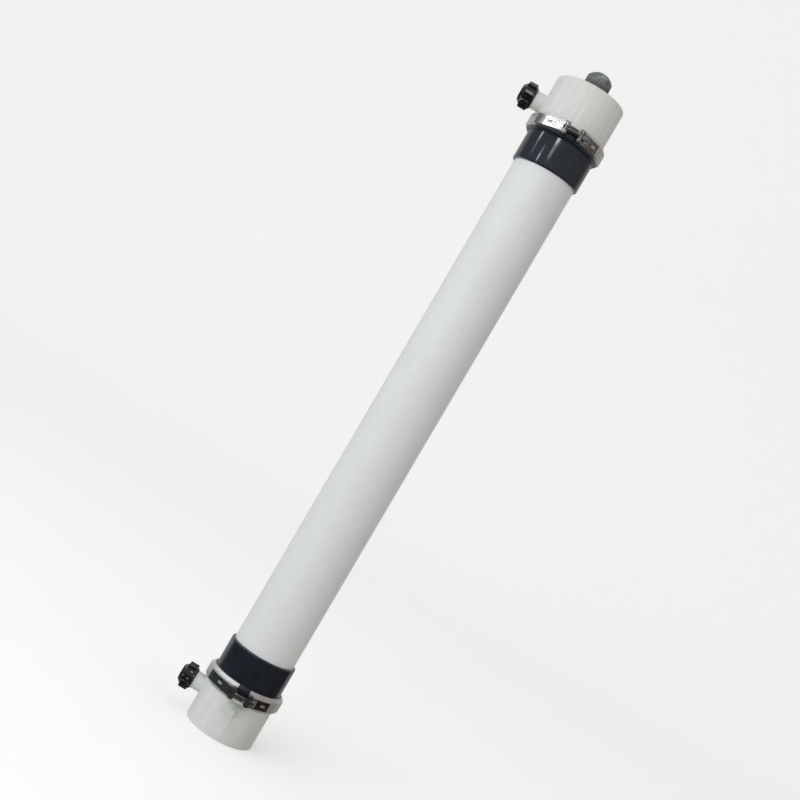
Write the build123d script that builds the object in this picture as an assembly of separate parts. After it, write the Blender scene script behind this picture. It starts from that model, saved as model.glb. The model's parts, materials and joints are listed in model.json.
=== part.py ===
from build123d import *
import os
from math import acos, asin, cos, degrees, pi, radians, sin, sqrt

# Ultrafiltration pressure vessel with its hollow-fibre membrane inside, in millimetres.
# The origin is the centre of the lower cap's flat base, +Z runs up the vessel's axis.
# The side ports point along -X, and the clamps close at the front, near -Y.
# Water enters the lower side port, runs up inside the fibres and leaves by the upper
# side port. What passes the fibre walls leaves by the perforated tube on the axis.

# Housing tube, and the distance between the two joints along it
tube_radius = 45.0
tube_wall = 4.3
joint_distance = 851.2

# Collars: sockets cemented on the tube, each with a coned flange
collar_wall = 3.7
collar_length = 54.2
socket_depth = 42.0
cement_gap = 0.1
collar_edge_chamfer = 1.2
bore_step = 0.3

# Coned flanges, alike on the collars and the caps
flange_height = 3.6
flange_rim = 7.9
flange_edge_chamfer = 0.5

# End caps, alike but for the rounding of their edges
cap_step = 1.0
cap_height = 69.4
cap_end_plate = 8.0
upper_cap_edge = 4.6
lower_cap_edge = 1.4
cap_inside_fillet = 4.0

# Face seal between each cap and collar, shown squeezed as fitted
seal_from_bore = 6.0
seal_width = 4.1
seal_height = 2.6
seal_groove_side_gap = 0.15
seal_squeeze_gap = 0.05

# Side ports, one on each cap
port_from_joint = 26.2
port_radius = 12.5
port_bore_radius = 9.0
port_length = 27.5
port_root_fillet = 1.5
thread_core_radius = 12.1
thread_crest_radius = 13.2
thread_taper = 0.5
thread_gap = 0.2
port_mouth_chamfer = 0.6

# Screw caps on the side ports
screw_cap_height = 20.7
screw_cap_roof = 5.0
screw_cap_hub_radius = 15.2
screw_cap_lobe_radius = 18.7
screw_cap_lobe_count = 8
screw_cap_lobe_width = 6.0
screw_cap_lobe_corner = 1.4
screw_cap_lobe_start = 2.7
screw_cap_lobe_end = 15.6
screw_cap_lobe_chamfer = 1.1
screw_cap_skirt_chamfer = 1.4
screw_cap_top_chamfer = 5.0
screw_cap_sink_radius = 7.0
screw_cap_sink_depth = 1.0
upper_screw_cap_turn = 0.0
lower_screw_cap_turn = 22.5
gasket_thickness = 2.0
gasket_hole_radius = 8.0
gasket_edge_gap = 0.2

# Permeate fitting cemented through the upper cap's end, and the soft cover pushed over it
permeate_core_radius = 15.2
permeate_crest_radius = 16.6
permeate_port_height = 19.5
permeate_port_bore_radius = 10.0
permeate_port_chamfer = 0.8
permeate_shank_step = 0.8
permeate_boss_radius = 18.0
permeate_boss_depth = 28.0
cover_wall = 1.2
cover_inside_gap = 0.2
cover_straight = 20.2
cover_dome_rise = 11.2
cover_dome_knuckle = 4.0
cover_foot_gap = 0.3

# Perforated permeate tube on the axis
permeate_tube_radius = 12.5
permeate_tube_wall = 2.5
permeate_tube_gap = 0.1
permeate_tube_entry = 24.0
permeate_tube_rooting = 30.0
permeate_hole_radius = 2.5
permeate_row_count = 9
permeate_cross_drill_count = 2
permeate_plug_height = 12.0
tube_seal_section = 2.4
tube_seal_from_mouth = 5.0
tube_seal_squeeze_gap = 0.05
tube_seal_side_gap = 0.36

# Potted fibre bundle
potting_depth = 46.0
potting_bond_gap = 0.05
fibre_end_radius = 1.5
fibre_end_depth = 2.0
fibre_ring_counts = (14, 20, 26)
fibre_first_ring_gap = 6.0
fibre_ring_step = 7.0
bundle_wall_gap = 3.3
bundle_rib_radius = 2.4
bundle_rib_count = 40
bundle_tube_gap = 0.4

# Clamps: two coned half rings held by a strap, a T-bolt, a trunnion, a washer and a nut
upper_clamp_turn = 3.8
lower_clamp_turn = 2.4
retainer_thickness = 1.2
retainer_inside_bend = 0.8
retainer_rim_gap = 0.6
retainer_seat_gap = 0.1
retainer_leg_gap = 0.5
retainer_front_half_gap = 9.0
retainer_rear_half_gap = 2.5
strap_thickness = 0.8
strap_width = 13.0
strap_gap = 0.05
strap_weld_sink = 0.1
closure_half_gap = 7.0
trunnion_radius = 3.8
trunnion_length = 17.8
trunnion_end_chamfer = 0.6
trunnion_loop_gap = 0.1
trunnion_flat = 1.6
left_tail_azimuth = 60.5
right_tail_azimuth = 45.0
window_azimuth = 35.0
window_length = 8.2
window_height = 3.2
bolt_slot_gap = 0.7
nut_slot_gap = 0.4
left_slot_reach = 15.5
bolt_radius = 2.5
bolt_end_from_nut = 1.8
bolt_end_chamfer = 0.6
bolt_hole_gap = 0.15
washer_radius = 4.5
washer_thickness = 1.0
nut_across_flats = 8.0
nut_thickness = 4.7
nut_thread_gap = 0.08
nut_corner_chamfer = 0.45

# Sizes that follow from those above
tube_inner_radius = tube_radius - tube_wall
bore_radius = tube_inner_radius + bore_step
collar_radius = tube_radius + cement_gap + collar_wall
cap_radius = collar_radius + cap_step
flange_radius = cap_radius + flange_height
seal_centre_radius = bore_radius + seal_from_bore
lower_joint_z = cap_height
upper_joint_z = lower_joint_z + joint_distance
upper_cap_end_z = upper_joint_z + cap_height
socket_floor = collar_length - socket_depth
tube_bottom_z = lower_joint_z + socket_floor
tube_top_z = upper_joint_z - socket_floor
bundle_bottom_z = tube_bottom_z + potting_depth
bundle_top_z = tube_top_z - potting_depth
cone_sum = flange_radius + flange_rim
port_tip = cap_radius + port_length
screw_cap_bore_radius = thread_crest_radius + thread_gap
screw_cap_bore_depth = screw_cap_height - screw_cap_roof
screw_cap_foot = port_tip + gasket_thickness - screw_cap_bore_depth
thread_start = screw_cap_foot - thread_taper
bundle_radius = tube_inner_radius - bundle_wall_gap - bundle_rib_radius
boss_root_z = upper_cap_end_z - cap_end_plate
boss_mouth_z = boss_root_z - permeate_boss_depth
permeate_shank_radius = permeate_core_radius + permeate_shank_step
permeate_port_top_z = upper_cap_end_z + permeate_port_height
permeate_tube_top_z = boss_mouth_z + permeate_tube_entry
permeate_tube_bottom_z = bundle_bottom_z - permeate_tube_rooting
permeate_seat_radius = permeate_tube_radius + permeate_tube_gap
tube_seal_groove_width = tube_seal_section + 2 * tube_seal_side_gap

retainer_inner = flange_radius + retainer_rim_gap
retainer_outer = retainer_inner + retainer_thickness
strap_inner = retainer_outer + strap_gap
strap_outer = strap_inner + strap_thickness
loop_inner = trunnion_radius + trunnion_loop_gap
loop_outer = loop_inner + strap_thickness
pin_distance = strap_outer + loop_inner
pin_x = closure_half_gap + loop_outer
pin_azimuth = degrees(asin(pin_x / pin_distance))
bolt_y = -pin_distance * cos(radians(pin_azimuth))
weld_radius = strap_outer - strap_weld_sink
tangent_turn = degrees(acos((weld_radius - loop_inner) / pin_distance))
plate_azimuth = pin_azimuth + tangent_turn
plate_length = sqrt(pin_distance**2 - (weld_radius - loop_inner) ** 2)
washer_x = pin_x + trunnion_flat
nut_x = washer_x + washer_thickness
bolt_end_x = nut_x + nut_thickness + bolt_end_from_nut
nut_corner_radius = nut_across_flats / 2 / cos(pi / 6)


def front(azimuth, distance):
    """The point at a distance from the axis, at an angle from the front (-Y) towards +X."""
    return distance * sin(radians(azimuth)), -distance * cos(radians(azimuth))


def turned(points):
    """A solid of revolution about Z from a closed outline of (radius, height) points."""
    outline = Polyline(*[(radius, 0, height) for radius, height in points], close=True)
    return revolve(make_face(outline), Axis.Z)


def tube_between(outer, inner, bottom, top):
    """A plain round tube between two heights."""
    return turned([(inner, bottom), (outer, bottom), (outer, top), (inner, top)])


def circles_at(part, height, radius):
    """The circular edges of a part at one height and radius."""
    found = []
    for edge in part.edges().filter_by(GeomType.CIRCLE):
        same_height = abs(edge.center().Z - height) < 0.01
        if same_height and abs(edge.radius - radius) < 0.01:
            found.append(edge)
    return found


def towards_port(part):
    """Turns a part built along +Z to lie along the side ports' direction, -X."""
    return Rot(0, -90, 0) * part


# Housing


def housing_tube():
    return tube_between(tube_radius, tube_inner_radius, tube_bottom_z, tube_top_z)


def collar():
    """Collar with its joint face at z = 0 and the tube entering from above."""
    socket_radius = tube_radius + cement_gap
    cone_top = cone_sum - collar_radius
    body = turned(
        [
            (bore_radius, 0),
            (flange_radius, 0),
            (flange_radius, flange_rim),
            (collar_radius, cone_top),
            (collar_radius, collar_length),
            (socket_radius, collar_length),
            (socket_radius, socket_floor),
            (bore_radius, socket_floor),
        ]
    )
    rim = circles_at(body, collar_length, collar_radius)
    body = chamfer(rim, min(collar_edge_chamfer, collar_wall / 2))
    return chamfer(circles_at(body, 0, flange_radius), flange_edge_chamfer)


# End caps


def port_solid():
    """Outside of a side port, built along +Z from the vessel's axis."""
    return turned(
        [
            (0, 0),
            (port_radius, 0),
            (port_radius, thread_start),
            (thread_core_radius, thread_start + thread_taper),
            (thread_core_radius, port_tip - port_mouth_chamfer),
            (thread_core_radius - port_mouth_chamfer, port_tip),
            (0, port_tip),
        ]
    )


def cap_shell(edge):
    """Cap outside and chamber, with the joint face at z = 0 and the end plate on top."""
    cone_top = cone_sum - cap_radius
    outside = turned(
        [
            (0, 0),
            (flange_radius, 0),
            (flange_radius, flange_rim),
            (cap_radius, cone_top),
            (cap_radius, cap_height),
            (0, cap_height),
        ]
    )
    outside = fillet(circles_at(outside, cap_height, cap_radius), edge)
    outside = chamfer(circles_at(outside, 0, flange_radius), flange_edge_chamfer)
    chamber_top = cap_height - cap_end_plate
    chamber = turned([(0, 0), (bore_radius, 0), (bore_radius, chamber_top), (0, chamber_top)])
    chamber = fillet(circles_at(chamber, chamber_top, bore_radius), cap_inside_fillet)
    return outside, chamber


def seal_groove():
    half_width = seal_width / 2 + seal_groove_side_gap
    inner = seal_centre_radius - half_width
    outer = seal_centre_radius + half_width
    return tube_between(outer, inner, 0, seal_height + seal_squeeze_gap)


def plain_cap(edge):
    """Cap with its side port, the joint face at z = 0."""
    outside, chamber = cap_shell(edge)
    port_place = Pos(0, 0, port_from_joint)
    body = outside + port_place * towards_port(port_solid())
    root = [
        edge_found
        for edge_found in body.edges()
        if edge_found.geom_type not in (GeomType.CIRCLE, GeomType.LINE)
    ]
    body = fillet(root, port_root_fillet)
    bore = tube_between(port_bore_radius, 0, 0, port_tip)
    return body - chamber - port_place * towards_port(bore) - seal_groove()


def lower_end_cap():
    cap = plain_cap(lower_cap_edge)
    return Pos(0, 0, lower_joint_z) * mirror(cap, about=Plane.XY)


def upper_end_cap():
    """The upper cap's end plate has a hole for the permeate fitting."""
    cap = Pos(0, 0, upper_joint_z) * plain_cap(upper_cap_edge)
    return cap - tube_between(permeate_shank_radius + cement_gap, 0, boss_root_z, upper_cap_end_z)


def joint_seal():
    """Face seal squeezed to a rounded strip, lying on the joint face at z = 0."""
    outline = Pos(seal_centre_radius, seal_height / 2) * SlotOverall(seal_width, seal_height)
    return revolve(Plane.XZ * outline, Axis.Z)


# Screw caps


def screw_cap():
    """Screw cap with its open foot at z = 0 and its roof on top."""
    hub = turned(
        [
            (0, 0),
            (screw_cap_hub_radius - screw_cap_skirt_chamfer, 0),
            (screw_cap_hub_radius, screw_cap_skirt_chamfer),
            (screw_cap_hub_radius, screw_cap_height - screw_cap_top_chamfer),
            (screw_cap_hub_radius - screw_cap_top_chamfer, screw_cap_height),
            (0, screw_cap_height),
        ]
    )
    lobe = Rectangle(screw_cap_lobe_radius, screw_cap_lobe_width, align=(Align.MIN, Align.CENTER))
    outer_corners = lobe.vertices().group_by(Axis.X)[-1]
    lobe = fillet(outer_corners, screw_cap_lobe_corner)
    lobe_prism = extrude(lobe, screw_cap_lobe_end - screw_cap_lobe_start)
    tip_edges = lobe_prism.edges().filter_by(Axis.Y).group_by(Axis.X)[-1]
    lobe_prism = chamfer(tip_edges, screw_cap_lobe_chamfer)
    body = hub
    for index in range(screw_cap_lobe_count):
        turn = Rot(0, 0, index * 360 / screw_cap_lobe_count)
        body = body + turn * (Pos(0, 0, screw_cap_lobe_start) * lobe_prism)
    bore = tube_between(screw_cap_bore_radius, 0, 0, screw_cap_bore_depth)
    sink_floor = screw_cap_height - screw_cap_sink_depth
    sink = tube_between(screw_cap_sink_radius, 0, sink_floor, screw_cap_height)
    return body - bore - sink


def screw_gasket():
    """Flat gasket under a screw cap's roof, built in the screw cap's own frame."""
    outer = screw_cap_bore_radius - gasket_edge_gap
    bottom = screw_cap_bore_depth - gasket_thickness
    return tube_between(outer, gasket_hole_radius, bottom, screw_cap_bore_depth)


def on_port(part, height, turn=0.0):
    """Sets a part built in the screw cap's frame on the side port at that height."""
    outward = Pos(0, 0, screw_cap_foot) * Rot(0, 0, turn) * part
    return Pos(0, 0, height) * towards_port(outward)


# Permeate fitting and tube


def permeate_fitting():
    """Port outside the cap's end, shank through its plate and boss for the tube inside."""
    fitting = turned(
        [
            (permeate_seat_radius, boss_mouth_z),
            (permeate_boss_radius, boss_mouth_z),
            (permeate_boss_radius, boss_root_z),
            (permeate_shank_radius, boss_root_z),
            (permeate_shank_radius, upper_cap_end_z),
            (permeate_core_radius, upper_cap_end_z),
            (permeate_core_radius, permeate_port_top_z - permeate_port_chamfer),
            (permeate_core_radius - permeate_port_chamfer, permeate_port_top_z),
            (permeate_port_bore_radius, permeate_port_top_z),
            (permeate_port_bore_radius, boss_root_z),
            (permeate_seat_radius, boss_root_z),
        ]
    )
    return fitting - permeate_seal_groove()


def permeate_seal_groove():
    bottom = boss_mouth_z + tube_seal_from_mouth
    outer = permeate_seat_radius + tube_seal_section + tube_seal_squeeze_gap
    return tube_between(outer, permeate_seat_radius, bottom, bottom + tube_seal_groove_width)


def permeate_tube_seal():
    """O-ring in the boss, sealing round the permeate tube's upper end."""
    section = tube_seal_section / 2
    height = boss_mouth_z + tube_seal_from_mouth + tube_seal_groove_width / 2
    centre = permeate_seat_radius + section
    return Pos(0, 0, height) * Torus(centre, section)


def permeate_tube():
    inner = permeate_tube_radius - permeate_tube_wall
    tube = tube_between(permeate_tube_radius, inner, permeate_tube_bottom_z, permeate_tube_top_z)
    span = bundle_top_z - bundle_bottom_z
    drill = Rot(0, 90, 0) * Cylinder(permeate_hole_radius, 4 * permeate_tube_radius)
    step = 180 / permeate_cross_drill_count
    for row in range(permeate_row_count):
        height = bundle_bottom_z + span * (row + 0.5) / permeate_row_count
        for place in range(permeate_cross_drill_count):
            turn = step * (place + (row % 2) / 2)
            tube = tube - Pos(0, 0, height) * Rot(0, 0, turn) * drill
    return tube


def permeate_tube_plug():
    radius = permeate_tube_radius - permeate_tube_wall - potting_bond_gap
    top = permeate_tube_bottom_z + permeate_plug_height
    return tube_between(radius, 0, permeate_tube_bottom_z, top)


def domed(radius, knuckle, rise, bottom, shoulder):
    """A round solid whose dome is a crown arc running into a tighter knuckle arc."""
    crown = ((radius - knuckle) ** 2 + rise**2 - knuckle**2) / (2 * (rise - knuckle))
    crown_angle = degrees(asin((radius - knuckle) / (crown - knuckle)))
    knuckle_centre = (radius - knuckle, shoulder)
    crown_centre = (0, shoulder + rise - crown)
    outline = [
        Line((radius, bottom), (radius, shoulder)),
        CenterArc(knuckle_centre, knuckle, 0, 90 - crown_angle),
        CenterArc(crown_centre, crown, 90 - crown_angle, crown_angle),
        Line((0, shoulder + rise), (0, bottom)),
        Line((0, bottom), (radius, bottom)),
    ]
    return revolve(Plane.XZ * make_face(outline), Axis.Z)


def permeate_cover():
    """Soft cover: a sleeve with a low dome, pushed over the permeate port's thread."""
    inner = permeate_crest_radius + cover_inside_gap
    outer = inner + cover_wall
    foot = upper_cap_end_z + cover_foot_gap
    shoulder = foot + cover_straight
    inner_rise = cover_dome_rise - cover_wall
    inner_knuckle = cover_dome_knuckle - cover_wall
    outside = domed(outer, cover_dome_knuckle, cover_dome_rise, foot, shoulder)
    inside = domed(inner, inner_knuckle, inner_rise, foot, shoulder)
    return outside - inside


# Potting and fibres


def potting(face_z, inward, permeate_end_z):
    """Resin block in one end of the tube. inward is +1 at the lower end, -1 at the upper."""
    radius = tube_inner_radius - potting_bond_gap
    inner_z = face_z + inward * potting_depth
    block = tube_between(radius, 0, min(face_z, inner_z), max(face_z, inner_z))
    low, high = sorted((permeate_end_z, inner_z))
    block = block - tube_between(permeate_tube_radius + potting_bond_gap, 0, low, high)
    low, high = sorted((face_z, face_z + inward * fibre_end_depth))
    first_ring = permeate_tube_radius + fibre_first_ring_gap
    for ring, count in enumerate(fibre_ring_counts):
        fibre_end = Pos(first_ring + ring * fibre_ring_step, 0, (low + high) / 2)
        fibre_end = fibre_end * Cylinder(fibre_end_radius, high - low)
        block = block - [Rot(0, 0, index * 360 / count) * fibre_end for index in range(count)]
    return block


def fibre_bundle():
    """The packed fibres as one ribbed body, with the permeate tube through its middle."""
    outline = Circle(bundle_radius)
    for index in range(bundle_rib_count):
        x, y = front(index * 360 / bundle_rib_count, bundle_radius)
        outline = outline + Pos(x, y) * Circle(bundle_rib_radius)
    outline = outline - Circle(permeate_tube_radius + bundle_tube_gap)
    return Pos(0, 0, bundle_bottom_z) * extrude(outline, bundle_top_z - bundle_bottom_z)


# Clamps, built with the joint plane at z = 0 and the closure facing -Y


def retainer(side):
    """Coned half ring. side is +1 for the one towards +X, -1 for the other."""
    inner_sum = cone_sum + retainer_seat_gap * sqrt(2)
    outer_sum = inner_sum + retainer_thickness * sqrt(2)
    leg_radius = max(cap_radius, collar_radius) + retainer_leg_gap
    leg_tip = retainer_thickness / sqrt(2)
    upper = [
        (retainer_inner, inner_sum - retainer_inner),
        (leg_radius, inner_sum - leg_radius),
        (leg_radius + leg_tip, inner_sum - leg_radius + leg_tip),
        (retainer_outer, outer_sum - retainer_outer),
    ]
    lower = [(radius, -height) for radius, height in reversed(upper)]
    section = make_face(Polyline(*upper, *lower, close=True))
    inside = [corner for corner in section.vertices() if abs(corner.X - retainer_inner) < 0.01]
    section = fillet(inside, retainer_inside_bend)
    outside = [corner for corner in section.vertices() if abs(corner.X - retainer_outer) < 0.01]
    section = fillet(outside, retainer_inside_bend + retainer_thickness)
    start = degrees(asin(retainer_front_half_gap / retainer_inner))
    end = 180 - degrees(asin(retainer_rear_half_gap / retainer_inner))
    half = revolve(Plane.XZ * section, Axis.Z, end - start)
    half = Rot(0, 0, start - 90) * half
    return half if side > 0 else mirror(half, about=Plane.YZ)


def sector(inner, outer, start, end):
    """Part of a flat ring between two angles from the front."""
    ring = Circle(outer) - Circle(inner)
    reach = 2 * outer
    steps = max(1, round((end - start) / 60))
    fan = [front(start + (end - start) * step / steps, reach) for step in range(steps + 1)]
    return ring & make_face(Polyline((0, 0), *fan, close=True))


def loop_with_tail(tail_azimuth):
    """Strap end towards +X: round the trunnion, flat back to the ring, and welded down."""
    x, y = front(pin_azimuth, pin_distance)
    # the loop runs from its inward side, past the closure gap, to where the plate leaves
    loop = sector(loop_inner, loop_outer, plate_azimuth - 180 - tangent_turn, plate_azimuth)
    plate_normal = front(plate_azimuth, 1)
    plate_along = (-plate_normal[1], plate_normal[0])
    start = (x + loop_inner * plate_normal[0], y + loop_inner * plate_normal[1])
    corners = []
    for along, out in ((0, 0), (plate_length, 0), (plate_length, 1), (0, 1)):
        corners.append(
            (
                start[0] + along * plate_along[0] + out * strap_thickness * plate_normal[0],
                start[1] + along * plate_along[1] + out * strap_thickness * plate_normal[1],
            )
        )
    plate = make_face(Polyline(*corners, close=True))
    weld = sector(weld_radius, weld_radius + strap_thickness, plate_azimuth, tail_azimuth)
    return Pos(x, y) * loop + plate + weld


def strap():
    """One flat strap round both half rings, folded back into a loop at each end."""
    band = sector(strap_inner, strap_outer, pin_azimuth, 360 - pin_azimuth)
    outline = band + loop_with_tail(right_tail_azimuth)
    outline = outline + mirror(loop_with_tail(left_tail_azimuth), about=Plane.YZ)
    body = Pos(0, 0, -strap_width / 2) * extrude(outline, strap_width)
    return body - loop_slots() - tail_windows()


def slot_box(start_x, end_x, floor_y, half_height):
    """Box that cuts the strap at the closure, from a floor outward through the loops."""
    length = end_x - start_x
    depth = floor_y + pin_distance + 2 * loop_outer
    box = Box(length, depth, 2 * half_height, align=(Align.MIN, Align.MAX, Align.CENTER))
    return Pos(start_x, floor_y, 0) * box


def loop_slots():
    """Slots that pass the bolt through the left loop, and the bolt and nut through the right."""
    bolt_floor = bolt_y + bolt_radius + bolt_slot_gap
    nut_floor = bolt_y + nut_corner_radius + nut_slot_gap
    bolt_half = bolt_radius + bolt_slot_gap
    nut_half = nut_corner_radius + nut_slot_gap
    # the nut leaves under the flat plate, whose outer face crosses the slot's floor here
    normal_x, normal_y = front(plate_azimuth, 1)
    nut_path_end = (weld_radius + strap_thickness - nut_floor * normal_y) / normal_x
    return [
        slot_box(-left_slot_reach, 0, bolt_floor, bolt_half),
        slot_box(0, washer_x, bolt_floor, nut_half),
        slot_box(washer_x, nut_path_end + nut_slot_gap, nut_floor, nut_half),
    ]


def tail_windows():
    """A punched window in each welded tail, which shows the strap under it."""
    depth = 4 * strap_thickness
    window = Box(window_length, depth, window_height, align=(Align.CENTER, Align.MAX, Align.CENTER))
    window = Pos(0, -strap_outer, 0) * window
    return [Rot(0, 0, window_azimuth) * window, Rot(0, 0, -window_azimuth) * window]


def t_bolt():
    bar = Pos(-pin_x, bolt_y, 0) * Cylinder(trunnion_radius, trunnion_length)
    bar = chamfer(bar.edges().filter_by(GeomType.CIRCLE), trunnion_end_chamfer)
    shank = Cylinder(bolt_radius, bolt_end_x + pin_x, align=(Align.CENTER, Align.CENTER, Align.MIN))
    tip = shank.edges().filter_by(GeomType.CIRCLE).group_by(Axis.Z)[-1]
    shank = chamfer(tip, bolt_end_chamfer)
    return bar + Pos(-pin_x, bolt_y, 0) * Rot(0, 90, 0) * shank


def trunnion():
    """Cross-drilled barrel in the right loop, with a flat for the washer."""
    bar = Cylinder(trunnion_radius, trunnion_length)
    bar = chamfer(bar.edges().filter_by(GeomType.CIRCLE), trunnion_end_chamfer)
    drill = Rot(0, 90, 0) * Cylinder(bolt_radius + bolt_hole_gap, 4 * trunnion_radius)
    spot = Box(
        trunnion_radius,
        4 * trunnion_radius,
        2 * washer_radius + nut_slot_gap,
        align=(Align.MIN, Align.CENTER, Align.CENTER),
    )
    bar = bar - drill - Pos(trunnion_flat, 0, 0) * spot
    return Pos(pin_x, bolt_y, 0) * bar


def on_bolt(part, distance):
    """Sets a part built along +Z on the bolt, at a distance from the closure's middle."""
    return Pos(distance, bolt_y, 0) * Rot(0, 90, 0) * part


def washer():
    ring = tube_between(washer_radius, bolt_radius + bolt_hole_gap, 0, washer_thickness)
    return on_bolt(ring, washer_x)


def nut():
    hexagon = RegularPolygon(nut_corner_radius, 6)
    body = extrude(hexagon, nut_thickness)
    corner = nut_corner_radius
    cone = turned(
        [
            (0, 0),
            (corner - nut_corner_chamfer, 0),
            (corner, nut_corner_chamfer),
            (corner, nut_thickness - nut_corner_chamfer),
            (corner - nut_corner_chamfer, nut_thickness),
            (0, nut_thickness),
        ]
    )
    hole = tube_between(bolt_radius + nut_thread_gap, 0, 0, nut_thickness)
    return on_bolt((body & cone) - hole, nut_x)


def place_clamp(part, joint_z, turn):
    return Pos(0, 0, joint_z) * Rot(0, 0, turn) * part


def all_parts():
    """Every node's name and solid, in the vessel's frame."""
    upper_port_z = upper_joint_z + port_from_joint
    lower_port_z = lower_joint_z - port_from_joint
    one_collar = collar()
    one_seal = joint_seal()
    parts = {
        "housing_tube": housing_tube(),
        "upper_collar": Pos(0, 0, upper_joint_z) * mirror(one_collar, about=Plane.XY),
        "lower_collar": Pos(0, 0, lower_joint_z) * one_collar,
        "upper_end_cap": upper_end_cap(),
        "lower_end_cap": lower_end_cap(),
        "upper_joint_seal": Pos(0, 0, upper_joint_z) * one_seal,
        "lower_joint_seal": Pos(0, 0, lower_joint_z) * mirror(one_seal, about=Plane.XY),
        "upper_screw_cap": on_port(screw_cap(), upper_port_z, upper_screw_cap_turn),
        "lower_screw_cap": on_port(screw_cap(), lower_port_z, lower_screw_cap_turn),
        "upper_screw_cap_gasket": on_port(screw_gasket(), upper_port_z),
        "lower_screw_cap_gasket": on_port(screw_gasket(), lower_port_z),
        "permeate_fitting": permeate_fitting(),
        "permeate_cover": permeate_cover(),
        "permeate_tube": permeate_tube(),
        "permeate_tube_plug": permeate_tube_plug(),
        "permeate_tube_seal": permeate_tube_seal(),
        "upper_potting": potting(tube_top_z, -1, tube_top_z),
        "lower_potting": potting(tube_bottom_z, 1, permeate_tube_bottom_z),
        "fibre_bundle": fibre_bundle(),
    }
    clamp_pieces = {
        "retainer_left": retainer(-1),
        "retainer_right": retainer(1),
        "strap": strap(),
        "t_bolt": t_bolt(),
        "trunnion": trunnion(),
        "washer": washer(),
        "nut": nut(),
    }
    clamps = (
        ("upper", upper_joint_z, upper_clamp_turn),
        ("lower", lower_joint_z, lower_clamp_turn),
    )
    for end, joint_z, turn in clamps:
        for piece, solid in clamp_pieces.items():
            parts[f"{end}_clamp_{piece}"] = place_clamp(solid, joint_z, turn)
    return parts


os.makedirs("parts", exist_ok=True)
for name, solid in all_parts().items():
    export_step(solid, f"parts/{name}.step")
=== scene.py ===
# %% [markdown]
# This script dresses an ultrafiltration pressure vessel for a picture. The vessel is a pale
# plastic pipe with a capped and clamped joint at each end, two side ports closed by black
# screw caps, and a soft cover on the port at its top. The solid model arrives as a fixed
# frame in metres: +Z runs up the vessel's axis, the side ports point along -X, and the
# clamps close towards -Y. The script could model the vessel again from nothing, but then
# sizes would drift, so it keeps the solids, gives each a finish, adds the fine threads that
# the solids leave out, and sets up camera and light. The frame's box is noted first, to be
# compared with the dressed model's box at the end.
# %% Load the frame
import json
from functools import cached_property
from math import atan2, cos, pi, radians, sin

import bmesh
import bpy
from mathutils import Matrix, Vector


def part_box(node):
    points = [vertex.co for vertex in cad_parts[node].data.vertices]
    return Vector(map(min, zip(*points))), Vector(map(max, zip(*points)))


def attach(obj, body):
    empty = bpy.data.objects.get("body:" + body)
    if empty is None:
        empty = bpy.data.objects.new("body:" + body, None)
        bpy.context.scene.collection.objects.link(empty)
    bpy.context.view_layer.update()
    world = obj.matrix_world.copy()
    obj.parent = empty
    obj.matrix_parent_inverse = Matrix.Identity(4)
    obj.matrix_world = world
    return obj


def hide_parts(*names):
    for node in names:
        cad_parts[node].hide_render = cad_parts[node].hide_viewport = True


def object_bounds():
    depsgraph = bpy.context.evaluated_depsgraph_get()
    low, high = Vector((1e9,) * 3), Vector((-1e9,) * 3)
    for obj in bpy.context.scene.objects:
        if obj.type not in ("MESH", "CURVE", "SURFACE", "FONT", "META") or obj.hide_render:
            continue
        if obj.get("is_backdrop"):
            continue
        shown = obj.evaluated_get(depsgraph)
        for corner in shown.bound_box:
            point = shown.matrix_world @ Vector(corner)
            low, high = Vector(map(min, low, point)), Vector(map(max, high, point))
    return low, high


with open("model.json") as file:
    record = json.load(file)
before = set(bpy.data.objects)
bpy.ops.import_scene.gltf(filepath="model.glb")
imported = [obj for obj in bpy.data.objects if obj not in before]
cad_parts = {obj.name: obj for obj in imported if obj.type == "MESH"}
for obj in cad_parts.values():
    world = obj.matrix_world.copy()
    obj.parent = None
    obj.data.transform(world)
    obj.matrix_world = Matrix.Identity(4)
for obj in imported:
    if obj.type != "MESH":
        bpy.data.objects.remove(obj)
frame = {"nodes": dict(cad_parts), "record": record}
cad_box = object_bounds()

NODES = frame["nodes"]
ENDS = ("upper", "lower")
MM = 0.001

# %% [markdown]
# Every new piece has to sit on a solid, and every stain has to start at a real edge. Sizes
# could be typed in again, but then a change in the solid model would leave them behind. So
# they are read from the boxes of the frame's nodes wherever a box can give them, each
# where it is first needed.
# %% Sizes from the frame


def span(node, axis):
    """Lowest and highest coordinate of a node along one axis."""
    low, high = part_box(node)
    return low[axis], high[axis]


for axis_name, low, high in zip("XYZ", *cad_box):
    print(f"{axis_name}: from {low / MM:.1f} to {high / MM:.1f} mm")

# %% [markdown]
# A finish is mostly arithmetic on patterns: this noise above a level, times that mask, plus
# a little of another. In the shader editor each step is a Math node to drag and link, and
# the sum is soon hard to read. A Signal wraps one socket of a node tree instead, and its
# operators add the Math nodes, so a finish reads as an ordinary expression. The reflected
# forms are there so that a number may stand first, as in 1 - mask.
# %% Shader maths


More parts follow.
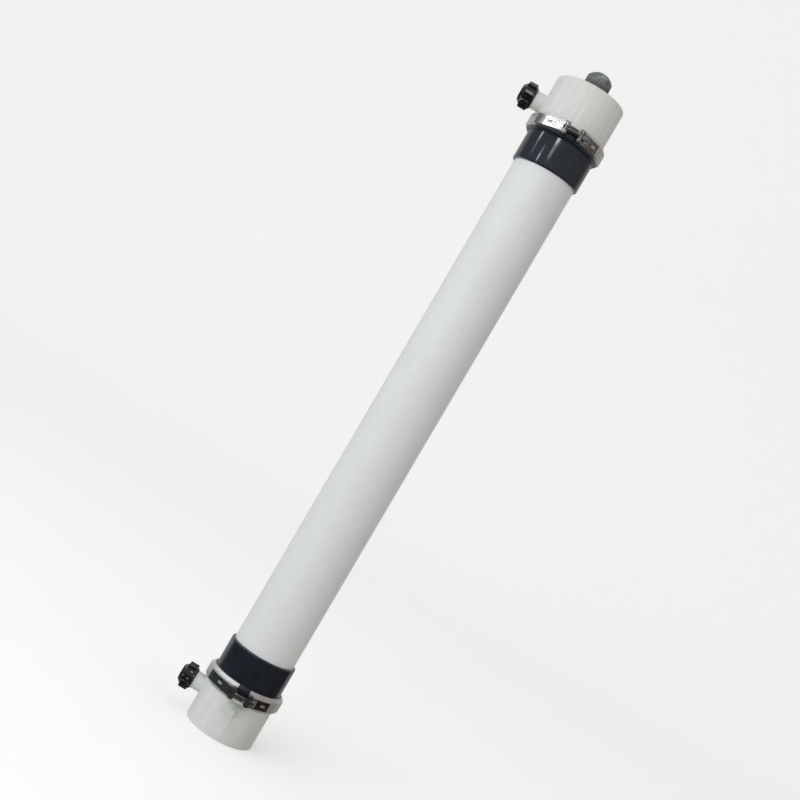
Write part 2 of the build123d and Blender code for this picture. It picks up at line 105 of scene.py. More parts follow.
class Signal:
    """A number or colour that varies over a surface."""

    def __init__(self, graph, socket):
        self.graph = graph
        self.socket = socket

    def math(self, operation, first, second=0.0):
        settings = {"operation": operation}
        return self.graph.node("ShaderNodeMath", settings, {0: first, 1: second})

    def __add__(self, other):
        return self.math("ADD", self, other)

    def __radd__(self, other):
        return self.math("ADD", other, self)

    def __sub__(self, other):
        return self.math("SUBTRACT", self, other)

    def __rsub__(self, other):
        return self.math("SUBTRACT", other, self)

    def __mul__(self, other):
        return self.math("MULTIPLY", self, other)

    def __rmul__(self, other):
        return self.math("MULTIPLY", other, self)

    def __pow__(self, other):
        return self.math("POWER", self, other)

    def size(self):
        return self.math("ABSOLUTE", self)

    def sine(self):
        return self.math("SINE", self)

    def cosine(self):
        return self.math("COSINE", self)

    def other(self, name):
        """Another output of the node that this Signal comes from."""
        return Signal(self.graph, self.socket.node.outputs[name])

    def above(self, level, width):
        """0 below a level, 1 above it, with a soft step of the given width."""
        settings = {"interpolation_type": "SMOOTHSTEP", "clamp": True}
        low, high = level - width / 2, level + width / 2
        inputs = {"Value": self, "From Min": low, "From Max": high}
        return self.graph.node("ShaderNodeMapRange", settings, inputs)

    def below(self, level, width):
        """1 below a level, 0 above it."""
        return 1.0 - self.above(level, width)


# %% [markdown]
# Nodes that aren't plain arithmetic, such as noise, mixes and bump, come from one method
# that takes the node's type, its settings and what goes into its sockets. The helpers below
# it give the nodes used most often a short name. All patterns read Object coordinates: a
# solid's object sits at the origin, so these are the vessel's own metres, and a streak
# crosses from one piece to the next unbroken. An unwrapped texture map would need seams.
# The place, and the angle, distance and height that most patterns turn it into, are cached
# properties, so a tree makes their nodes once, when they are first asked for.
# %% Node trees


class Graph:
    """A node tree that is being filled."""

    def __init__(self, tree):
        self.tree = tree
        self.tree.nodes.clear()

    def node(self, kind, settings=None, inputs=None, output=0):
        """Adds a node and returns one of its outputs as a Signal."""
        node = self.tree.nodes.new(kind)
        for name, value in (settings or {}).items():
            setattr(node, name, value)
        for name, value in (inputs or {}).items():
            self.feed(node.inputs[name], value)
        return Signal(self, node.outputs[output]) if node.outputs else node

    def feed(self, socket, value):
        """Links a Signal to a socket, or sets the socket to a plain value."""
        if isinstance(value, Signal):
            self.tree.links.new(value.socket, socket)
        else:
            socket.default_value = value

    def blend(self, factor, first, second):
        """Mixes two colours, which may be Signals or (r, g, b) values."""
        first, second = (
            colour if isinstance(colour, Signal) else (*colour, 1.0) for colour in (first, second)
        )
        inputs = {0: factor, 6: first, 7: second}
        return self.node("ShaderNodeMix", {"data_type": "RGBA"}, inputs, output=2)

    @cached_property
    def place(self):
        """The point's place in the vessel's frame, in metres."""
        return self.node("ShaderNodeTexCoord", output="Object")

    def parts(self, vector):
        """The three parts of a vector, each as a Signal."""
        first = self.node("ShaderNodeSeparateXYZ", None, {0: vector})
        return [first, first.other("Y"), first.other("Z")]

    def vector(self, x, y, z):
        return self.node("ShaderNodeCombineXYZ", None, {0: x, 1: y, 2: z})

    @cached_property
    def around_axis(self):
        """Angle from the front in radians, distance from the axis and height in metres."""
        x, y, z = self.parts(self.place)
        angle = x.math("ARCTAN2", x, y * -1.0)
        distance = (x * x + y * y) ** 0.5
        return angle, distance, z

    def noise(self, vector, scale, detail=2.0, roughness=0.5):
        inputs = {"Vector": vector, "Scale": scale, "Detail": detail, "Roughness": roughness}
        return self.node("ShaderNodeTexNoise", None, inputs)

    def cells(self, vector, scale, settings=None, **inputs):
        """Distance to the middle of the nearest cell of a Voronoi pattern."""
        inputs = {"Vector": vector, "Scale": scale, **inputs}
        return self.node("ShaderNodeTexVoronoi", {"feature": "F1", **(settings or {})}, inputs)

    def bump(self, height, distance, strength):
        inputs = {"Height": height, "Distance": distance, "Strength": strength}
        return self.node("ShaderNodeBump", None, inputs)


# %% [markdown]
# Each finish is one material with one Principled shader, because that shader covers plastic
# and metal alike and bakes cleanly. What is the same all over the surface is set straight
# on its socket. What varies is linked last, by a call that takes colour, roughness and
# bump, so that no finish can be left as one flat colour.
# %% Materials


def new_material(name, constants=None):
    """A material with one Principled shader; returns it with its graph and shader node."""
    material = bpy.data.materials.new(name)
    material.use_nodes = True
    graph = Graph(material.node_tree)
    shader = material.node_tree.nodes.new("ShaderNodeBsdfPrincipled")
    output = material.node_tree.nodes.new("ShaderNodeOutputMaterial")
    material.node_tree.links.new(shader.outputs[0], output.inputs[0])
    for socket, value in (constants or {}).items():
        shader.inputs[socket].default_value = value
    return material, graph, shader


def paint(graph, shader, colour, roughness, bump):
    """Links what varies over a surface to the shader."""
    graph.feed(shader.inputs["Base Color"], colour)
    graph.feed(shader.inputs["Roughness"], roughness)
    graph.feed(shader.inputs["Normal"], bump)


MATERIALS = {}


def keep(slot, material):
    """Files a finish under the material slot that it is for."""
    MATERIALS[slot] = material
    print(f"{slot}: {len(material.node_tree.nodes)} shader nodes")


# %% [markdown]
# Extruded and moulded plastic is streaked along its length, rolled steel across it, and
# everything carries slow blotches of dust and handling. One noise could do for all of
# them if its coordinates are stretched: few cells per radian and many per metre gives
# rings, the other way round gives streaks. The seed moves each to a fresh place.
# %% Streaks and stains


def axial_streaks(graph, per_radian, per_metre, seed):
    """Streaks that run along the vessel's axis."""
    angle, distance, height = graph.around_axis
    vector = graph.vector(angle * per_radian, height * per_metre, distance * 40.0 + seed)
    return graph.noise(vector, 1.0, detail=3.0, roughness=0.6)


def hoop_streaks(graph, per_radian, per_metre, seed):
    """Fine lines that run round the vessel, as on rolled strip."""
    angle, distance, height = graph.around_axis
    vector = graph.vector(angle * per_radian + seed, height * per_metre, distance * per_metre)
    return graph.noise(vector, 1.0, detail=2.0, roughness=0.7)


def stains(graph, scale, seed):
    """Slow blotches of handling and dust."""
    inputs = {0: graph.place, 1: (seed, seed, seed)}
    vector = graph.node("ShaderNodeVectorMath", {"operation": "ADD"}, inputs)
    return graph.noise(vector, scale, detail=4.0, roughness=0.6)


# %% [markdown]
# Dirt specks and rubbed spots are small and sparse. Noise above a high level makes worms,
# not spots, so these take the distance to the middle of each Voronoi cell instead, and a
# second random number decides which cells carry a mark at all.
# %% Specks and scuffs


def specks(graph, scale, share):
    """Small sparse spots: 1 on a spot, 0 elsewhere."""
    distance = graph.cells(graph.place, scale)
    chance = graph.noise(graph.place, scale * 0.37, detail=0.0)
    return distance.below(0.16, 0.08) * chance.above(share, 0.04)


def scuffs(graph):
    """Short rubbed marks, longer along the screw cap's axis: 1 on a mark."""
    x, y, z = graph.parts(graph.place)
    cell = graph.cells(graph.vector(x * 0.38, y, z), 300.0)
    chance = graph.parts(cell.other("Color"))[0]
    ragged = graph.noise(graph.place, 900.0) * 0.16
    return (cell + ragged).below(0.30, 0.10) * chance.above(0.80, 0.02) * 0.8


# %% [markdown]
# A scratch is a thin straight line with two ends. Drawn as geometry, hundreds of them would
# cost more than the vessel. Here the surface is unrolled flat, cut into Voronoi cells, and
# each cell holds one line: the cell's random colour gives the slope and decides whether
# the line shows, and the way from the cell's middle, turned by the slope, gives its width
# and length.
# %% Scratches


def scratches(graph, per_metre, share, width, seed):
    """Thin straight scratches, most of them near the axis direction: 1 on a scratch."""
    angle, distance, height = graph.around_axis
    across = angle * distance * per_metre + seed
    along = height * per_metre + seed
    cell = graph.cells(graph.vector(across, along, 0.0), 1.0, {"voronoi_dimensions": "2D"})
    slope, chance, _ = graph.parts(cell.other("Color"))
    centre_x, centre_y, _ = graph.parts(cell.other("Position"))
    turn = (slope - 0.5) * 2.6
    off_x = across - centre_x
    off_y = along - centre_y
    beside = (off_x * turn.cosine() - off_y * turn.sine()).size()
    ahead = (off_x * turn.sine() + off_y * turn.cosine()).size()
    line = beside.below(width, width) * ahead.below(0.38, 0.3)
    return line * chance.above(1.0 - share, 0.02)


# %% [markdown]
# The end caps have been in use: dirty water dried below the lower clamp's closure in a grey-green
# patch with two thin runs. The rims behind each bolt, between the strap's tails, are painted near
# black: painted shade with some grime.
# These could be painted as image maps. They are masks of angle and height instead, with a
# ragged edge from noise, so they need no file and stay tied to the joint's height.
# %% Dirt and painted shade at the clamps' closures

JOINT_Z = {"upper": span("upper_end_cap", 2)[0], "lower": span("lower_end_cap", 2)[1]}
CLOSURE_ANGLE = {"upper": radians(3.8), "lower": radians(2.4)}
CLAMP_REACH = 12.0 * MM
DRIP_ANGLES = (-0.18, 0.16)


def closure_stain(graph):
    """1 where dirty water ran down the lower cap below the clamp's closure."""
    angle, _, height = graph.around_axis
    ragged = stains(graph, 70.0, 2.2) - 0.5
    sideways = (angle - 0.12 + ragged * 0.5).size().below(0.24, 0.36)
    edge = JOINT_Z["lower"] - CLAMP_REACH
    wet = (height + ragged * 0.05).above(edge - 11.0 * MM, 18.0 * MM) * sideways
    run = (height + ragged * 0.10).above(edge - 34.0 * MM, 40.0 * MM)
    run = run * (angle - 0.05 + ragged * 0.3).size().below(0.26, 0.4)
    left, right = [(angle - at + ragged * 0.06).size() for at in DRIP_ANGLES]
    drips = left.below(0.018, 0.03) + right.below(0.018, 0.03)
    return (wet * 0.75 + run * 0.22 + drips * 0.20) * height.below(edge, 1.0 * MM)


def closure_grime_and_shade(graph, end):
    """1 on the rims behind a clamp's bolt, between the strap's tails: painted shade with some grime.
    """
    angle, _, height = graph.around_axis
    ragged = (stains(graph, 160.0, 6.1) - 0.5) * 0.08
    # painted shade, with some grime, in the gap behind the bolt
    beside = (angle - CLOSURE_ANGLE[end] + ragged).size().below(0.13, 0.06)
    return beside * (height - JOINT_Z[end]).size().below(7.6 * MM, 1.6 * MM)


for end in ENDS:
    print(f"{end} clamp joint at {JOINT_Z[end] / MM:.1f} mm")

# %% [markdown]
# A duller film lies over both caps in broken upright lines, and the film's colour also paints shade
# in patches, darker on the left of the upper cap and on the right of the lower one. One even veil
# would look like fog. So the strength of the painted shade differs from the upper cap to the lower
# and from the left side to the right, and streaks along the axis, cut up by slow stains, draw the
# lines.
# %% Dull film and painted shade on the end caps

MID_HEIGHT = 0.5


def upper_half(height):
    """1 on the upper half of the vessel, 0 on the lower half."""
    return height.above(MID_HEIGHT, 0.1)


def cap_film_and_shade(graph, seed):
    """How dull the moulded caps are in broken upright lines, with painted shade in patches."""
    angle, _, height = graph.around_axis
    upper = upper_half(height)
    right_side = (angle + (stains(graph, 40.0, seed) - 0.5) * 0.3).above(0.16, 0.22)
    line = axial_streaks(graph, 21.0, 9.0, seed).above(0.58, 0.16)
    broken = stains(graph, 65.0, seed + 4.0).above(0.46, 0.24)
    upper_right = angle.above(0.50, 0.5) * upper
    # painted shade: the upper cap darker on the left, the lower cap darker on the right
    shade = upper * (0.16 - right_side * 0.12) + (1.0 - upper) * right_side * 0.20
    return shade + line * broken * (upper_right * 0.70 + 0.12)


print(f"upper and lower half meet at {MID_HEIGHT / MM:.0f} mm")

# %% [markdown]
# Dirt and painted shade lie in layers: the film and the painted shade first, then pale runs that
# dried on them, then the wet stain, and last the black grime and painted shade behind the bolts. The
# masks could be added up, but that gives one muddy tone. So each is blended, in its own colour, over
# what lies below it.
# %% Layers of dirt and painted shade on the end caps

WHITE_DUST = (0.80, 0.80, 0.78)
CAP_DIRT_AND_SHADE = (0.500, 0.478, 0.420)
GREEN_STAIN = (0.30, 0.335, 0.275)
BLACK_GRIME_AND_SHADE = (0.030, 0.030, 0.030)


def marked(graph, colour, blotch, seed):
    """The marks and painted shade that only the moulded caps carry, over a base colour."""
    colour = graph.blend(cap_film_and_shade(graph, seed), colour, CAP_DIRT_AND_SHADE)
    pale_run = axial_streaks(graph, 24.0, 7.0, seed + 9.0).above(0.64, 0.10)
    colour = graph.blend(pale_run * blotch.above(0.42, 0.2) * 0.75, colour, WHITE_DUST)
    colour = graph.blend(closure_stain(graph), colour, GREEN_STAIN)
    for end in ENDS:
        # painted shade, with some grime, behind each bolt
        colour = graph.blend(closure_grime_and_shade(graph, end) * 0.93, colour, BLACK_GRIME_AND_SHADE)
    return colour


# %% [markdown]
# Pipe, caps and permeate tube are unplasticised PVC, a slightly glossy pale grey. The pipe
# is extruded, so its gloss varies in faint lines along the axis, and the moulded caps are a
# little duller. Three separate materials would repeat the same nodes, so one function makes
# all three: colour, film, seed and roughness set them apart, and the caps alone get the
# marks above. Pale plastic lets light in a little, but at this thickness a plain surface
# looks the same and renders faster.
# %% Pale plastics

DARK_SPECK = (0.22, 0.20, 0.17)
PALE_SCRATCH = (0.52, 0.52, 0.50)


def pale_plastic(name, clean, film, seed, roughness, moulded=False):
    constants = {"IOR": 1.48, "Specular IOR Level": 0.5}
    material, graph, shader = new_material(name, constants)
    broad = axial_streaks(graph, 7.0, 3.0, seed)
    streak = axial_streaks(graph, 30.0, 6.0, seed + 1.0)
    blotch = stains(graph, 22.0, seed)
    fine = stains(graph, 140.0, seed + 3.0)
    scratch = scratches(graph, 45.0, 0.30, 0.010, seed)
    soiling = blotch.above(0.52, 0.34) * 0.35 + broad.above(0.55, 0.25) * 0.15
    colour = graph.blend(soiling, clean, film)
    colour = graph.blend(fine.above(0.55, 0.3) * 0.16, colour, WHITE_DUST)
    if moulded:
        colour = marked(graph, colour, blotch, seed)
    colour = graph.blend(scratch * 0.25, colour, PALE_SCRATCH)
    colour = graph.blend(specks(graph, 420.0, 0.62) * 0.40, colour, DARK_SPECK)
    rough = roughness + streak * 0.08 + blotch * 0.12 + scratch * 0.18
    height = streak * 0.4 + fine * 0.25 - scratch * 0.35
    paint(graph, shader, colour, rough, graph.bump(height, 0.08 * MM, 0.35))
    return material


# clean and filmed colour of each
PIPE_COLOURS = (0.700, 0.714, 0.716), (0.660, 0.662, 0.650)
CAP_COLOURS = (0.665, 0.682, 0.662), (0.610, 0.616, 0.582)
TUBE_COLOURS = (0.760, 0.760, 0.740), (0.660, 0.650, 0.610)
keep("pipe_plastic", pale_plastic("pipe_plastic", *PIPE_COLOURS, seed=1.7, roughness=0.20))
keep("cap_plastic", pale_plastic("cap_plastic", *CAP_COLOURS, seed=8.3, roughness=0.26, moulded=True))
keep("tube_plastic", pale_plastic("tube_plastic", *TUBE_COLOURS, seed=4.1, roughness=0.36))

# %% [markdown]
# Collars and screw caps are black plastic with a blue cast. A dark colour with a sharp
# mirror gives toy plastic. Here the body below is dull and a clear coat lies on top, so the
# coat can wear off by itself: where there is dust or a scratch its weight drops and the
# gloss breaks. The screw caps were turned by many hands and have pale rubbed spots too.
# %% Black plastics

GREY_SPECK = (0.22, 0.22, 0.21)
DULL_SCRATCH = (0.12, 0.12, 0.13)
RUBBED = (0.50, 0.51, 0.53)


def dark_plastic(name, clean, dusty, seed, gloss, dust_amount, grain, scuffed=False):
    """Black moulding: a dull body under a clear glossy skin, dusty in places."""
    constants = {"IOR": 1.5, "Specular IOR Level": 0.20, "Coat Roughness": gloss}
    material, graph, shader = new_material(name, constants)
    streak = axial_streaks(graph, 14.0, 9.0, seed)
    blotch = stains(graph, 30.0, seed)
    texture = stains(graph, 700.0, seed)
    scratch = scratches(graph, 60.0, 0.35, 0.010, seed)
    dust = blotch.above(0.58, 0.24) * 0.5 + streak.above(0.60, 0.2) * 0.5
    colour = graph.blend(dust * dust_amount, clean, dusty)
    colour = graph.blend(specks(graph, 520.0, 0.60) * 0.30, colour, GREY_SPECK)
    colour = graph.blend(scratch * 0.25, colour, DULL_SCRATCH)
    if scuffed:
        colour = graph.blend(scuffs(graph), colour, RUBBED)
    height = texture * grain + streak * 0.25 - scratch * 0.3
    bump = graph.bump(height, 0.05 * MM, 0.35)
    paint(graph, shader, colour, 0.34 + blotch * 0.2 + scratch * 0.2, bump)
    graph.feed(shader.inputs["Coat Weight"], 0.95 - dust * dust_amount - scratch * 0.3)
    return material


# clean and dusty colour of each
COLLAR_COLOURS = (0.0080, 0.0120, 0.0195), (0.040, 0.047, 0.060)
SCREW_CAP_COLOURS = (0.0050, 0.0055, 0.0085), (0.034, 0.035, 0.046)
COLLAR_SURFACE = {"seed": 2.2, "gloss": 0.040, "dust_amount": 0.20, "grain": 0.08}
SCREW_CAP_SURFACE = {"seed": 6.4, "gloss": 0.06, "dust_amount": 0.25, "grain": 1.2, "scuffed": True}
keep("collar_plastic", dark_plastic("collar_plastic", *COLLAR_COLOURS, **COLLAR_SURFACE))
keep("screw_cap_plastic", dark_plastic("screw_cap_plastic", *SCREW_CAP_COLOURS, **SCREW_CAP_SURFACE))

# %% [markdown]
# The cover on the top port is soft grey plastic, mottled by a pale bloom that the material sweats
# out, and darker towards its foot. It could be one noise between two greys, but the bloom is sharper
# at its edges, so the noise is cut by a level first, and towards the crown it is made stronger as a
# painted highlight, so its strength grows with height.
# %% Soft cover

COVER_Z = span("permeate_cover", 2)
COVER_GREY = (0.110, 0.121, 0.117)
COVER_BLOOM_AND_HIGHLIGHT = (0.33, 0.345, 0.335)
COVER_FOOT = (0.045, 0.049, 0.047)
COVER_SPECK = (0.42, 0.44, 0.42)


def soft_cover_plastic(name, seed):
    """Mottled grey soft plastic with a pale bloom and a painted highlight on the crown, darker where
    it meets the cap.
    """
    material, graph, shader = new_material(name, {"IOR": 1.46, "Specular IOR Level": 0.4})
    height = graph.around_axis[2]
    blotch = stains(graph, 120.0, seed)
    fine = stains(graph, 460.0, seed + 2.0)
    # painted highlight: the pale bloom grows stronger towards the crown
    crown = height.above(COVER_Z[1] - 10.0 * MM, 8.0 * MM)
    bloom_and_highlight = blotch.above(0.50, 0.16) * (crown * 0.5 + 0.3) + fine.above(0.56, 0.1) * 0.15
    colour = graph.blend(bloom_and_highlight, COVER_GREY, COVER_BLOOM_AND_HIGHLIGHT)
    foot = height.below(COVER_Z[0] + 14.0 * MM, 6.0 * MM)
    colour = graph.blend(foot * 0.50, colour, COVER_FOOT)
    colour = graph.blend(specks(graph, 320.0, 0.52) * 0.35, colour, COVER_SPECK)
    bump = graph.bump(blotch + fine * 0.5, 0.35 * MM, 0.6)
    paint(graph, shader, colour, 0.44 + fine * 0.24, bump)
    return material


keep("cover_plastic", soft_cover_plastic("cover_plastic", 3.3))

# %% [markdown]
# The clamps are stainless steel. Rolled strip mirrors the room in a smear, because fine
# lines run along it. An anisotropic shader would smear it too, but its direction doesn't
# survive export, so the lines are real here: a very fine noise that runs round the vessel
# drives bump and roughness. Tarnish, rust specks and scratches go on top, and the bolts and
# nuts use the same steel, darker, as it comes.
# %% Steel

RUST_SPECK = (0.16, 0.13, 0.10)


def steel(name, bright, dull, roughness, lines, seed, metallic=1.0):
    """Worn stainless; returns the material, its graph, shader, colour and roughness."""
    material, graph, shader = new_material(name, {"Metallic": metallic})
    rolled = hoop_streaks(graph, 3.0, lines, seed)
    coarse = hoop_streaks(graph, 2.0, lines * 0.2, seed + 5.0)
    scratch = scratches(graph, 160.0, 0.45, 0.020, seed)
    tarnish = stains(graph, 90.0, seed).above(0.54, 0.26) * 0.6
    colour = graph.blend(tarnish, bright, dull)
    colour = graph.blend(specks(graph, 700.0, 0.60) * 0.5, colour, RUST_SPECK)
    rough = roughness + rolled * 0.08 + tarnish * 0.14 + scratch * 0.10
    height = rolled * 0.5 + coarse - scratch * 0.5
    paint(graph, shader, colour, rough, graph.bump(height, 0.03 * MM, 0.45))
    return material, graph, shader, colour, rough


# bright and dull colour
BOLT_COLOURS = (0.38, 0.37, 0.36), (0.22, 0.20, 0.18)
bolt_steel = steel("stainless_bolt", *BOLT_COLOURS, roughness=0.20, lines=2600.0, seed=5.9)[0]
keep("stainless_bolt", bolt_steel)

# %% [markdown]
# The strap lies dull and pale round the clamp, and its folded tails stand off it, flat and polished.
# The tails on the right are painted brown and darker in patches: partly a brown tint on the steel,
# partly painted shade where they face the dimmer right. One node is one slot, so the tails can't have
# a material of their own. They lie further from the axis than the strap does, so a mask of distance
# tells them apart.
# %% Clamp straps

STRAP_OUTER_RADIUS = span("lower_clamp_strap", 0)[1]
STRAP_COLOURS = (0.66, 0.65, 0.63), (0.50, 0.485, 0.46)
STRAP_SURFACE = {"roughness": 0.20, "lines": 3600.0, "seed": 2.6}
PALE_STRAP = (0.74, 0.73, 0.715)
BROWN_TINT_AND_SHADE = (0.22, 0.165, 0.12)


def strap_steel(name):
    material, graph, shader, colour, rough = steel(name, *STRAP_COLOURS, **STRAP_SURFACE)
    angle, distance, _ = graph.around_axis
    tail = distance.above(STRAP_OUTER_RADIUS + 0.3 * MM, 0.3 * MM)
    colour = graph.blend((1.0 - tail) * 0.75, colour, PALE_STRAP)
    right_side = angle.above(0.06, 0.10)
    patchy = stains(graph, 160.0, 7.4).above(0.46, 0.24) * 0.55 + 0.35
    # painted shade with a brown tint on the right tails
    colour = graph.blend(tail * right_side * patchy, colour, BROWN_TINT_AND_SHADE)
    graph.feed(shader.inputs["Base Color"], colour)
    graph.feed(shader.inputs["Metallic"], 0.7 + tail * 0.3)
    graph.feed(shader.inputs["Roughness"], rough + (1.0 - tail) * 0.14 - tail * 0.12)
    return material


keep("stainless_strap", strap_steel("stainless_strap"))

# %% [markdown]
# The coned half rings under the strap are satin steel. Where they meet the upper collar they are
# painted dark, as shade with some oil and dust: on the lip close to the collar, and in the shadow
# below the strap's tails. A pass of ambient occlusion would find such corners by itself, but it would
# find them all, so two masks name the places instead.
# %% Half rings

LIP_RADIUS = 53.9 * MM
STRAP_LOW_Z = span("upper_clamp_strap", 2)[0]
BAND_COLOURS = (0.76, 0.75, 0.74), (0.58, 0.565, 0.55)
BAND_SURFACE = {"roughness": 0.28, "lines": 5200.0, "seed": 1.1, "metallic": 0.75}
SHADE_AND_GRIME = (0.035, 0.037, 0.042)


def band_steel(name):
    """Satin half rings, with painted shade and some grime under the upper clamp."""
    material, graph, shader, colour, _ = steel(name, *BAND_COLOURS, **BAND_SURFACE)
    angle, distance, height = graph.around_axis
    upper = upper_half(height)
    low_side = height.below(JOINT_Z["upper"] - 5.0 * MM, 1.0 * MM)
    # painted shade, with some grime, on the lip next to the collar and below the strap's tails
    lip = distance.below(LIP_RADIUS, 1.6 * MM) * low_side
    colour = graph.blend(lip * upper * 0.85, colour, SHADE_AND_GRIME)
    ragged = (stains(graph, 120.0, 9.2) - 0.5) * 0.3
    below_strap = height.below(STRAP_LOW_Z + 0.6 * MM, 0.6 * MM)
    under_tails = (angle + ragged).size().below(0.96, 0.16) * below_strap
    colour = graph.blend(under_tails * upper * 0.80, colour, SHADE_AND_GRIME)
    graph.feed(shader.inputs["Base Color"], colour)
    return material


keep("stainless_band", band_steel("stainless_band"))

# %% [markdown]
# The seals are black rubber, and only their edges show with a cap off. Rubber is never
# quite black and hardly shines, so the colour stays a little above zero, with grey dust in
# blotches, and a fine grain breaks the highlight.
# %% Rubber seals

RUBBER_BLACK = (0.016, 0.016, 0.017)
RUBBER_DUST = (0.05, 0.05, 0.05)


def rubber(name, seed):
    material, graph, shader = new_material(name, {"IOR": 1.5})
    dust = stains(graph, 120.0, seed).above(0.5, 0.4) * 0.6
    fine = stains(graph, 1400.0, seed)
    colour = graph.blend(dust, RUBBER_BLACK, RUBBER_DUST)
    paint(graph, shader, colour, 0.55 + fine * 0.25, graph.bump(fine, 0.1 * MM, 0.5))
    return material


keep("seal_rubber", rubber("seal_rubber", 1.3))

# %% [markdown]
# Inside, both ends of the fibre bundle are cast in honey-coloured resin and cut flat, so the face is
# full of small open rings. Modelled one by one they would be thousands of cylinders. A Voronoi
# pattern with little randomness packs round cells much as fibres pack: the middle of a cell is the
# bore, painted dark as the shade in the open hole, and a ring about it is the fibre's wall.
# %% Potting resin

RESIN_COLOURS = (0.62, 0.47, 0.22), (0.74, 0.60, 0.34)
CUT_FIBRE = (0.84, 0.83, 0.78)
BORE_SHADE = (0.16, 0.13, 0.10)


def resin(name, seed):
    material, graph, shader = new_material(name, {"IOR": 1.55})
    x, y, _ = graph.parts(graph.place)
    cell = graph.cells(graph.vector(x, y, 0.0), 620.0, Randomness=0.35)
    ring = cell.above(0.20, 0.06) * cell.below(0.36, 0.06)
    bore = cell.below(0.20, 0.06)
    blotch = stains(graph, 40.0, seed)
    colour = graph.blend(blotch, *RESIN_COLOURS)
    colour = graph.blend(ring, colour, CUT_FIBRE)
    # painted shade in each open bore
    colour = graph.blend(bore * 0.8, colour, BORE_SHADE)
    bump = graph.bump(ring - bore, 0.2 * MM, 0.6)
    paint(graph, shader, colour, 0.24 + ring * 0.35 + blotch * 0.1, bump)
    return material


keep("potting_resin", resin("potting_resin", 2.8))

# %% [markdown]
# The membrane is a bundle of hollow white fibres. The solid gives its ribbed outside, and
# single strands would be hair, which is slow and doesn't export. Narrow streaks along the
# axis, in colour and in bump, read as strands from any distance at which the bundle shows.
# %% Membrane fibres

FIBRE_COLOURS = (0.50, 0.49, 0.45), (0.86, 0.86, 0.83)
YELLOWED = (0.74, 0.70, 0.60)


def fibre(name, seed):
    material, graph, shader = new_material(name, {"Sheen Weight": 0.2})
    strand = axial_streaks(graph, 140.0, 3.0, seed)
    blotch = stains(graph, 30.0, seed)
    colour = graph.blend(strand.above(0.5, 0.4), *FIBRE_COLOURS)
    colour = graph.blend(blotch * 0.25, colour, YELLOWED)
    paint(graph, shader, colour, 0.70 + strand * 0.15, graph.bump(strand, 0.6 * MM, 0.9))
    return material


keep("fibre_membrane", fibre("fibre_membrane", 7.7))

# %% [markdown]
# Each solid's record names the material slot that it belongs to. Going through the record
# gives every node its finish in one loop, and a node without one would stop the script.
# %% Finish the solids

NODE_SLOT = {part["node"]: part["material_slot"] for part in frame["record"]["subparts"]}
for node_name, node in NODES.items():
    node.data.materials.clear()
    node.data.materials.append(MATERIALS[NODE_SLOT[node_name]])
print(f"{len(NODES)} solids finished with {len(set(NODE_SLOT.values()))} materials")

# %% [markdown]
# A new piece is modelled upright about Z, where spinning is simple, then its mesh is
# carried to its place. The object itself stays at the origin, as the solids' objects do, so
# that patterns on Object coordinates run on over it. Edges sharper than a limit are marked
# sharp, because smooth shading across them would look like melted plastic. Every piece
# names its slot and the body that it moves with.
# %% Making a piece


def frame_along(axis, origin):
    """A matrix that carries +Z to an axis and the local origin to a point."""
    axis = Vector(axis).normalized()
    side = Vector((0, 0, 1)) if abs(axis.z) < 0.9 else Vector((1, 0, 0))
    second = axis.cross(side).normalized()
    first = second.cross(axis)
    turn = Matrix((first, second, axis)).transposed().to_4x4()
    return Matrix.Translation(origin) @ turn


def finished_mesh(name, bm, matrix, sharp_angle=35.0):
    """Makes an object from a bmesh that is built about Z, with its mesh set in place."""
    bmesh.ops.transform(bm, matrix=matrix, verts=bm.verts)
    bmesh.ops.recalc_face_normals(bm, faces=bm.faces)
    for face in bm.faces:
        face.smooth = True
    for edge in bm.edges:
        if edge.is_manifold and edge.calc_face_angle(0.0) > radians(sharp_angle):
            edge.smooth = False
    mesh = bpy.data.meshes.new(name)
    bm.to_mesh(mesh)
    bm.free()
    piece = bpy.data.objects.new(name, mesh)
    bpy.context.scene.collection.objects.link(piece)
    return piece


def dress(piece, slot, body):
    """Gives a piece its finish and its body."""
    piece.data.materials.append(MATERIALS[slot])
    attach(piece, body)
    print(f"{piece.name}: {len(piece.data.polygons)} faces, moves with {body}")


# %% [markdown]
# A screw thread is one ridge wound round a core. Blender's Screw modifier could wind it,
# but its ends would be cut off square. Here the bmesh spin operator takes the ridge's
# section, turns it, and lifts it a little with each step. Then the crest is pressed down to
# the surface over the first and last half turn, as a cut thread runs out. The section's
# two root corners lie 0.1 mm deep in the solid, so that no gap shows.
# %% Thread ridge

ROOT_HALF_WIDTH = 0.36
CREST_HALF_WIDTH = 0.06
ROOT_DEPTH = 0.1 * MM
Z_AXIS = {"cent": (0, 0, 0), "axis": (0, 0, 1)}


